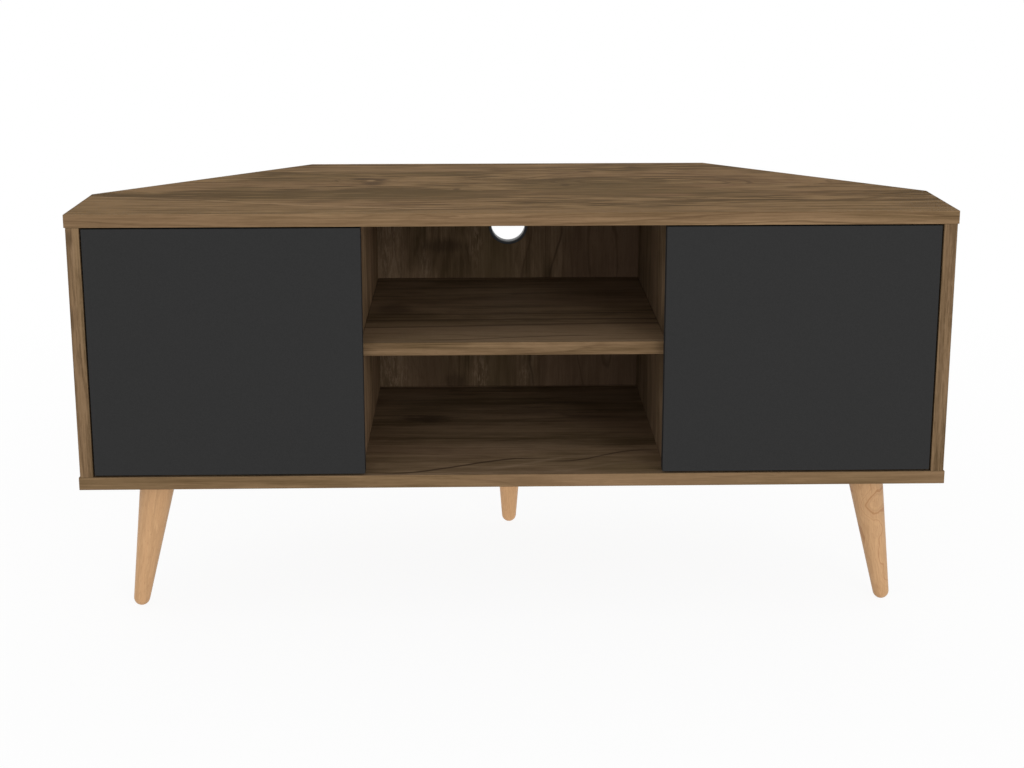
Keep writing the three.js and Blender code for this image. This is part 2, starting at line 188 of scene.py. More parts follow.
# Printed walnut: stripes that follow wandering growth rings, with one crown and one knot
def makeWalnutGroup():
    look = walnutPrint
    numbers = ["Rings", "Wander", "Figure", "Streaks", "Dashes", "Mottle", "Crown Reach", "Knot Reach"]
    tree, given, out = newGroup("walnut print", ["Vector", "Seed", "Crown", "Knot"], numbers,
                                ["Tone", "Stripe", "Flush", "Pore"])
    moved = vectorNode(tree, "ADD", given["Vector"], given["Seed"])
    layers = {name: stretchedNoise(tree, moved, *layer) for name, layer in walnutLayers.items()}
    across = put(tree, "ShaderNodeSeparateXYZ", {0: given["Vector"]}).outputs["Y"]
    place = times(tree, centred(tree, layers["slow"]), given["Wander"])
    place = mathNode(tree, "MULTIPLY_ADD", across, given["Rings"], place)
    for mark, size in (("Crown", look["crownSize"]), ("Knot", look["knotSize"])):
        away = fromCentre(tree, given["Vector"], given[mark], size)
        squared = vectorNode(tree, "DOT_PRODUCT", away, away)
        place = mathNode(tree, "ADD", place, hill(tree, squared, given[mark + " Reach"]))
    place = mathNode(tree, "MULTIPLY_ADD", layers["quiver"], look["quiverShare"], place)
    broad = lineNoise(tree, place, look["broadRings"], look["ringDetail"])
    narrow = lineNoise(tree, place, look["narrowRings"], look["ringDetail"])
    tone = 0.5
    for layer, share in (
        (broad, given["Figure"]),
        (layers["streak"], given["Streaks"]),
        (layers["dash"], given["Dashes"]),
        (layers["blotch"], look["blotchShare"]),
        (layers["fibre"], look["fibreShare"]),
        (layers["mottle"], given["Mottle"]),
    ):
        tone = mathNode(tree, "MULTIPLY_ADD", centred(tree, layer), share, tone)
    feed(tree, out, {
        "Tone": tone,
        "Stripe": ramp(tree, narrow, *look["stripeRange"]),
        "Flush": ramp(tree, layers["blotch"], *look["flushRange"]),
        "Pore": ramp(tree, layers["pore"], *look["poreRange"]),
    })
    return tree


# Distances in metres: how a vein, and likewise a painted shade edge, fades in and out at its ends, and how
# far its lower side reaches
veinAndShadeEdgeLook = {
    "drift": ((11.0, 1.0, 1.0), 3.0, 0.55),
    "fadeIn": (-0.04, 0.02),
    "fadeOut": (-0.02, 0.05),
    "sideReach": (-0.025, 0.004),
}


# A line that runs from one height to another, and the surface on its lower side: a vein and its wood in the
# print, and on the centre shelf a painted shadow edge with painted light on its lower side
def makeVeinAndShadeEdgeGroup():
    look = veinAndShadeEdgeLook
    numbers = ["Start", "Finish", "High", "Low", "Wobble", "Width"]
    tree, given, out = newGroup("vein and painted shade edge", ["Vector"], numbers, ["Line", "Side"])
    place = put(tree, "ShaderNodeSeparateXYZ", {0: given["Vector"]}).outputs
    passed = ramp(tree, place["X"], given["Start"], given["Finish"], given["High"], given["Low"])
    drift = stretchedNoise(tree, given["Vector"], *look["drift"])
    level = mathNode(tree, "MULTIPLY_ADD", centred(tree, drift), given["Wobble"], passed)
    above = mathNode(tree, "SUBTRACT", place["Y"], level)
    line = ramp(tree, mathNode(tree, "ABSOLUTE", above), 0.0, given["Width"], 1.0, 0.0)
    begun = ramp(tree, mathNode(tree, "SUBTRACT", place["X"], given["Start"]), *look["fadeIn"])
    ended = ramp(tree, mathNode(tree, "SUBTRACT", place["X"], given["Finish"]), *look["fadeOut"], 1.0, 0.0)
    present = times(tree, begun, ended)
    side = ramp(tree, above, *look["sideReach"], 1.0, 0.0)
    feed(tree, out, {"Line": times(tree, line, present), "Side": side})
    return tree


patchPrint = {
    "torn": ((30.0, 210.0, 1.0), 4.0, 0.65),
    "flecks": ((55.0, 300.0, 1.0), 3.0, 0.7),
    "fleckRange": (0.48, 0.58),
    "rim": (0.25, 1.1),                  # in multiples of the patch's size
}


# A ragged stain or knot
def makePatchGroup():
    look = patchPrint
    tree, given, out = newGroup("print patch", ["Vector", "Centre", "Size"], ["Ragged", "Flecked"], ["Mask"])
    distance = vectorNode(tree, "LENGTH", fromCentre(tree, given["Vector"], given["Centre"], given["Size"]))
    torn = stretchedNoise(tree, given["Vector"], *look["torn"])
    reach = mathNode(tree, "MULTIPLY_ADD", centred(tree, torn), given["Ragged"], distance)
    flecks = stretchedNoise(tree, given["Vector"], *look["flecks"])
    gaps = times(tree, ramp(tree, flecks, *look["fleckRange"], 1.0, 0.0), given["Flecked"])
    whole = ramp(tree, reach, *look["rim"], 1.0, 0.0)
    kept = mathNode(tree, "SUBTRACT", 1.0, gaps)
    feed(tree, out, {"Mask": times(tree, whole, kept)})
    return tree


beechPrint = {
    "slowRepeats": 26.0,
    "slowDetail": 2.5,
    "swirlSize": (0.020, 0.05, 0.019),
    "uneven": ((22.0, 22.0, 34.0), 1.0),
    "unevenShare": 1.2,
    "ringRepeats": 60.0,
    "ringScale": 1.6,
    "fibre": ((700.0, 700.0, 18.0), 2.0),
    "fleck": ((900.0, 900.0, 160.0), 1.0),
    "toneBase": 0.1,
    "fibreShare": 0.4,
    "ringShare": 0.4,
    "ringRange": (0.54, 0.66),
    "fleckRange": (0.63, 0.70),
}


# Turned beech: rings along Z that curl where the figure is strong, one swirl, and short dark flecks
def makeBeechGroup():
    look = beechPrint
    tree, given, out = newGroup("beech grain", ["Vector", "Swirl"], ["Figure", "Curl", "Swirl Reach"],
                                ["Tone", "Ring", "Fleck"])
    place = put(tree, "ShaderNodeSeparateXYZ", {0: given["Vector"]}).outputs
    curled = put(tree, "ShaderNodeCombineXYZ", {
        "X": times(tree, place["X"], look["slowRepeats"]),
        "Y": times(tree, place["Y"], look["slowRepeats"]),
        "Z": times(tree, place["Z"], given["Curl"]),
    }).outputs[0]
    slow = noise(tree, curled, detail=look["slowDetail"])
    wander = times(tree, centred(tree, slow), given["Figure"])
    away = fromCentre(tree, given["Vector"], given["Swirl"], look["swirlSize"])
    uneven = stretchedNoise(tree, given["Vector"], *look["uneven"])
    squared = mathNode(tree, "MULTIPLY_ADD", centred(tree, uneven), look["unevenShare"],
                       vectorNode(tree, "DOT_PRODUCT", away, away))
    wander = mathNode(tree, "ADD", hill(tree, squared, given["Swirl Reach"]), wander)
    ringPlace = mathNode(tree, "MULTIPLY_ADD", place["X"], look["ringRepeats"], wander)
    rings = lineNoise(tree, ringPlace, look["ringScale"])
    fibre = stretchedNoise(tree, given["Vector"], *look["fibre"])
    fleck = stretchedNoise(tree, given["Vector"], *look["fleck"])
    tone = mathNode(tree, "MULTIPLY_ADD", fibre, look["fibreShare"], look["toneBase"])
    feed(tree, out, {
        "Tone": mathNode(tree, "MULTIPLY_ADD", rings, look["ringShare"], tone),
        "Ring": ramp(tree, rings, *look["ringRange"]),
        "Fleck": ramp(tree, fleck, *look["fleckRange"]),
    })
    return tree


# Each noise has its scale, detail, roughness and distortion
hazePrint = {
    "smear": (6.0, 3.0, 0.6, 0.4),
    "speck": (240.0, 2.0, 0.6),
    "smearShare": 0.7,
    "speckShare": 0.3,
}


# Slow smears and fine dust that change how a surface shines
def makeHazeGroup():
    look = hazePrint
    tree, given, out = newGroup("handling haze", ["Vector"], ["Base Roughness", "Amount"],
                                ["Roughness", "Haze"])
    smear = noise(tree, given["Vector"], *look["smear"])
    speck = noise(tree, given["Vector"], *look["speck"])
    dust = times(tree, speck, look["speckShare"])
    haze = mathNode(tree, "MULTIPLY_ADD", smear, look["smearShare"], dust)
    rough = mathNode(tree, "MULTIPLY_ADD", centred(tree, haze), given["Amount"], given["Base Roughness"])
    feed(tree, out, {"Roughness": rough, "Haze": haze})
    return tree


walnutGroup = makeWalnutGroup()
veinAndShadeEdgeGroup = makeVeinAndShadeEdgeGroup()
patchGroup = makePatchGroup()
beechGroup = makeBeechGroup()
hazeGroup = makeHazeGroup()
print("pattern groups made")


def newMaterial(name, look):
    material = bpy.data.materials.new(name)
    material.use_nodes = True
    tree = material.node_tree
    shader = tree.nodes["Principled BSDF"].inputs
    feed(tree, shader, {
        "Roughness": look["roughness"], "Specular IOR Level": look["specular"],
        "Metallic": look.get("metallic", 0.0),
    })
    return material, tree, shader


def addHaze(tree, shader, vector, look):
    values = {"Vector": vector, "Base Roughness": look["roughness"], "Amount": look["haze"]}
    haze = useGroup(tree, hazeGroup, values)
    feed(tree, shader, {"Roughness": haze["Roughness"]})
    return haze["Haze"]


def addBump(tree, shader, height, look):
    values = {"Height": height, "Strength": look["bump"], "Distance": look["bumpDepth"]}
    feed(tree, shader, {"Normal": put(tree, "ShaderNodeBump", values).outputs["Normal"]})


walnutColors = {
    "dark": shown(88, 70, 47),
    "mid": shown(115, 93, 67),
    "light": shown(138, 113, 84),
    "flush": shown(125, 98, 75),
    "olive": shown(93, 76, 50),
    "pale": shown(150, 124, 96),
    "stripe": shown(80, 61, 42),
    "knot": shown(62, 47, 34),
}
outOfSight = (9, 9, 9)                   # where a crown, knot or swirl waits that a piece doesn't use

# Looks that each board's own entry may change; veins, painted shade edges and patches lie in the board's
# print coordinates
plainWalnut = {
    "seed": (0, 0, 0),
    "rings": 34.0,
    "wander": 9.0,
    "figure": 0.22,
    "streaks": 0.42,
    "dashes": 0.0,
    "mottle": 0.3,
    "crown": outOfSight,
    "crownReach": 0.0,
    "knot": outOfSight,
    "knotReach": 0.0,
    "contrast": 1.0,
    "gain": (1, 1, 1),
    "edgeLift": 0.35,
    "edgeGain": 1.0,
    "edgeCalm": 0.5,
    "veinsAndShadeEdges": [],
    "patches": [],
    "toneSpread": 0.10,
    "flushStrength": 0.35,
    "stripeStrength": 0.38,
    "poreStrength": 0.35,
    "seamStrength": 0.35,
    "roughness": 0.62,
    "specular": 0.012,
    "haze": 0.12,
    "bump": 0.25,
    "bumpDepth": 0.15 * mm,
}


def makeWalnut(name, changes):
    look = {**plainWalnut, **changes}
    material, tree, shader = newMaterial(name, look)
    laid = put(tree, "ShaderNodeUVMap", uv_map="grain").outputs["UV"]
    strip = put(tree, "ShaderNodeAttribute", attribute_name="strip").outputs["Fac"]
    seam = put(tree, "ShaderNodeAttribute", attribute_name="seam").outputs["Fac"]
    liveliness = mathNode(tree, "MULTIPLY_ADD", strip, -look["edgeCalm"], 1.0)
    broadOnly = mathNode(tree, "SUBTRACT", 1.0, strip)
    wood = useGroup(tree, walnutGroup, {
        "Vector": laid, "Seed": look["seed"], "Rings": look["rings"], "Wander": look["wander"],
        "Figure": look["figure"],
        "Streaks": times(tree, liveliness, look["streaks"]),
        "Dashes": times(tree, broadOnly, look["dashes"]),
        "Mottle": times(tree, liveliness, look["mottle"]),
        "Crown": look["crown"], "Crown Reach": look["crownReach"],
        "Knot": look["knot"], "Knot Reach": look["knotReach"],
    })
    tone = put(tree, "ShaderNodeValToRGB", {"Fac": wood["Tone"]})
    stops = tone.color_ramp.elements
    spread = look["toneSpread"] / look["contrast"]
    stops[0].position, stops[0].color = 0.5 - spread, walnutColors["dark"]
    stops[1].position, stops[1].color = 0.5 + spread, walnutColors["light"]
    stops.new(0.5).color = walnutColors["mid"]
    color = tone.outputs["Color"]

    def tint(mask, strength, colorName):
        return mixColor(tree, times(tree, mask, strength), color, walnutColors[colorName])

    color = tint(wood["Flush"], look["flushStrength"], "flush")
    # Veins of the print; on the centre shelf the same marks are painted shadow edges, with painted light on
    # their front side
    for mark in look["veinsAndShadeEdges"]:
        found = useGroup(tree, veinAndShadeEdgeGroup, {"Vector": laid, **mark["path"]})
        if mark["side"]:
            color = tint(found["Side"], mark["sideStrength"], mark["side"])
        color = tint(found["Line"], mark["strength"], mark["line"])
    color = tint(wood["Stripe"], look["stripeStrength"] * look["contrast"], "stripe")
    color = tint(wood["Pore"], look["poreStrength"], "stripe")
    for mark in look["patches"]:
        found = useGroup(tree, patchGroup, {"Vector": laid, **mark["shape"]})
        color = tint(found["Mask"], mark["strength"], mark["color"])
    color = tint(strip, look["edgeLift"], "light")
    color = tint(seam, look["seamStrength"], "knot")
    # Multiplies the colour by the board's gain, and on the edging by its edge gain; on the bottom board, the
    # centre shelf and the dividers the gain is painted light, and the shelf's edge gain is painted shade
    gain = mixColor(tree, strip, (*look["gain"], 1), (look["edgeGain"],) * 3 + (1,))
    color = mixColor(tree, 1.0, color, gain, "MULTIPLY")
    feed(tree, shader, {"Base Color": color})
    addHaze(tree, shader, laid, look)
    addBump(tree, shader, mathNode(tree, "MULTIPLY_ADD", wood["Pore"], -1.0, wood["Tone"]), look)
    return material


anthraciteLook = {
    "dark": shown(43, 43, 43),
    "pale": shown(46, 46, 46),
    "cloudScale": 900.0,
    "cloudRange": (0.35, 0.65),
    "gritScale": 1400.0,
    "gritRoughness": 0.6,
    "roughness": 0.6,
    "specular": 0.06,
    "haze": 0.06,
    "bump": 0.12,
    "bumpDepth": 0.06 * mm,
}


def makeAnthracite():
    look = anthraciteLook
    material, tree, shader = newMaterial("anthracite melamine", look)
    place = put(tree, "ShaderNodeTexCoord").outputs["Object"]
    addHaze(tree, shader, place, look)
    cloud = ramp(tree, noise(tree, place, look["cloudScale"]), *look["cloudRange"])
    feed(tree, shader, {"Base Color": mixColor(tree, cloud, look["dark"], look["pale"])})
    addBump(tree, shader, noise(tree, place, look["gritScale"], roughness=look["gritRoughness"]), look)
    return material


beechColors = {
    "light": shown(204, 163, 121),
    "dark": shown(187, 147, 107),
    "ring": shown(168, 122, 82),
    "fleck": shown(160, 114, 76),
}
plainBeech = {
    "figure": 2.5,
    "curl": 6.0,
    "ringStrength": 0.2,
    "fleckStrength": 0.30,
    "toneRange": (0.38, 0.62),
    "shift": (0, 0, 0),
    "gain": 1.0,
    "swirl": outOfSight,
    "swirlReach": 0.0,
    "roughness": 0.45,
    "specular": 0.15,
    "haze": 0.12,
    "bump": 0.15,
    "bumpDepth": 0.2 * mm,
}


def makeBeech(name, turn, changes):
    look = {**plainBeech, **changes}
    material, tree, shader = newMaterial(name, look)
    place = put(tree, "ShaderNodeTexCoord").outputs["Object"]
    moved = put(tree, "ShaderNodeMapping", {
        "Vector": place, "Location": look["shift"], "Rotation": turn,
    }).outputs["Vector"]
    swirl = Euler(turn).to_matrix() @ Vector(look["swirl"]) + Vector(look["shift"])
    wood = useGroup(tree, beechGroup, {
        "Vector": moved, "Figure": look["figure"], "Curl": look["curl"],
        "Swirl": swirl, "Swirl Reach": look["swirlReach"],
    })
    tone = ramp(tree, wood["Tone"], *look["toneRange"])
    color = mixColor(tree, tone, beechColors["dark"], beechColors["light"])
    for mark, strength in (("Ring", look["ringStrength"]), ("Fleck", look["fleckStrength"])):
        shows = times(tree, wood[mark], strength)
        color = mixColor(tree, shows, color, beechColors[mark.lower()])
    color = mixColor(tree, 1.0, color, (look["gain"],) * 3 + (1,), "MULTIPLY")
    feed(tree, shader, {"Base Color": color})
    addHaze(tree, shader, moved, look)
    addBump(tree, shader, wood["Tone"], look)
    return material


# Metals and plastics: grain is the repeats per metre of the fine bumps along each axis
plainLooks = {
    "steel": dict(name="nickel steel", color=shown(196, 196, 194), spots=shown(176, 176, 175),
                  roughness=0.30, specular=0.5, metallic=1.0, grain=(2500, 300, 300), bump=0.25),
    "zinc": dict(name="zinc screws", color=shown(178, 178, 172), spots=shown(150, 149, 142),
                 roughness=0.38, specular=0.5, metallic=1.0, grain=(900, 900, 900), bump=0.2),
    "capPlastic": dict(name="brown cap plastic", color=shown(104, 82, 58), spots=shown(96, 75, 52),
                       roughness=0.45, specular=0.3, grain=(800, 800, 800), bump=0.2),
    "greyPlastic": dict(name="grey plastic", color=shown(58, 61, 66), spots=shown(52, 55, 60),
                        roughness=0.42, specular=0.4, grain=(800, 800, 800), bump=0.3),
    "rubber": dict(name="clear pad", color=shown(200, 200, 194), spots=shown(186, 186, 180),
                   roughness=0.35, specular=0.5, grain=(600, 600, 600), bump=0.1),
}
plainFinish = {"haze": 0.2, "spotRange": (0.4, 0.62), "grainRoughness": 0.6, "bumpDepth": 0.05 * mm}


def makePlain(changes):
    look = {**plainFinish, **changes}
    material, tree, shader = newMaterial(look["name"], look)
    place = put(tree, "ShaderNodeTexCoord").outputs["Object"]
    spots = ramp(tree, addHaze(tree, shader, place, look), *look["spotRange"])
    feed(tree, shader, {"Base Color": mixColor(tree, spots, look["color"], look["spots"])})
    addBump(tree, shader, stretchedNoise(tree, place, look["grain"], roughness=look["grainRoughness"]), look)
    return material


materials = {"anthracite": makeAnthracite()}
materials.update((key, makePlain(look)) for key, look in plainLooks.items())
print("plain materials made")

mergeDistance = 0.002 * mm
flatAngle = math.radians(1)
sharpAngle = math.radians(30)
boardEdge = 0.5 * mm
seamWidth = 1.6 * mm
broadArea = 0.03                         # square metres; only the two broad faces of a board are larger
edgeFineness = 2                         # the edging's print is finer than the boards'
leastAlong = 0.3                         # a face that the grain runs into takes another direction
leastTurned = 0.3                        # faces turned less than this take the print of the facing side
turnSlide = 3                            # metres in the print, so that no two faces show the same piece of it
normalSlide = Vector((1, 2, 0))


# A tidy copy of a CAD node's mesh, with its triangles merged into whole faces
def tidyCopy(nodeName):
    bm = bmesh.new()
    bm.from_mesh(frame["nodes"][nodeName].data)
    bmesh.ops.remove_doubles(bm, verts=bm.verts, dist=mergeDistance)
    bmesh.ops.dissolve_limit(bm, angle_limit=flatAngle, verts=bm.verts, edges=bm.edges)
    return bm


def softenEdges(bm, width, segments=2):
    edges = [edge for edge in bm.edges if len(edge.link_faces) == 2 and edge.calc_face_angle() > sharpAngle]
    bmesh.ops.bevel(bm, geom=edges, offset=width, offset_type="OFFSET", segments=segments, profile=0.5,
                    affect="EDGES", clamp_overlap=True, material=-1)


# Lays the print with its grain along one direction and its zero on the face that shows most
def layGrain(bm, grainDirection, facing):
    layer = bm.loops.layers.uv.new("grain")
    strip = bm.faces.layers.float["strip"]
    grain = Vector(grainDirection)
    shows = Vector(facing)
    bm.normal_update()
    for face in bm.faces:
        normal = face.normal
        along = grain - normal * normal.dot(grain)
        if along.length < leastAlong:
            along = normal.cross(Vector((0, 0, 1)))
        if along.length < leastAlong:
            along = Vector((1, 0, 0))
        along.normalize()
        across = normal.cross(along)
        turned = 1 - normal.dot(shows)
        slide = 0 if turned < leastTurned else turnSlide * turned + normal.dot(normalSlide)
        fineness = edgeFineness if face[strip] else 1
        for loop in face.loops:
            loop[layer].uv = (loop.vert.co.dot(along), fineness * loop.vert.co.dot(across) + slide)


# Marks the edging strips, and the rim of each broad face where a strip meets the print
def markEdging(bm, width):
    seam = bm.faces.layers.float.new("seam")
    strip = bm.faces.layers.float.new("strip")
    broad = [face for face in bm.faces if face.calc_area() > broadArea]
    for face in bm.faces:
        face[strip] = 0.0 if face in broad else 1.0
    rim = bmesh.ops.inset_region(bm, faces=broad, thickness=width, use_boundary=True, use_even_offset=True)
    for face in rim["faces"]:
        face[seam] = 1.0


def addObject(name, data):
    made = bpy.data.objects.new(name, data)
    bpy.context.scene.collection.objects.link(made)
    return made


def addMesh(name, bm):
    mesh = bpy.data.meshes.new(name)
    bm.to_mesh(mesh)
    bm.free()
    return addObject(name, mesh)


def finishPiece(bm, name, body, material, replaced=(), smoothAngle=None):
    piece = addMesh(name, bm)
    mesh = piece.data
    if smoothAngle:
        mesh.polygons.foreach_set("use_smooth", [True] * len(mesh.polygons))
        mesh.set_sharp_from_angle(angle=math.radians(smoothAngle))
    mesh.materials.append(material)
    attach(piece, body)
    if replaced:
        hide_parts(*replaced)


# A vein, and on the centre shelf a painted shadow edge, runs between two places, each a distance along and
# across the grain
def veinAndShadeEdge(start, finish, width, wobble, line, strength, side=None, sideStrength=0.0):
    path = {"Start": start[0], "High": start[1], "Finish": finish[0], "Low": finish[1],
            "Wobble": wobble, "Width": width}
    return dict(path=path, line=line, strength=strength, side=side, sideStrength=sideStrength)


def patch(centre, size, color, strength, ragged=0.8, flecked=0.0):
    shape = {"Centre": (*centre, 0), "Size": (*size, 1), "Ragged": ragged, "Flecked": flecked}
    return dict(shape=shape, color=color, strength=strength)


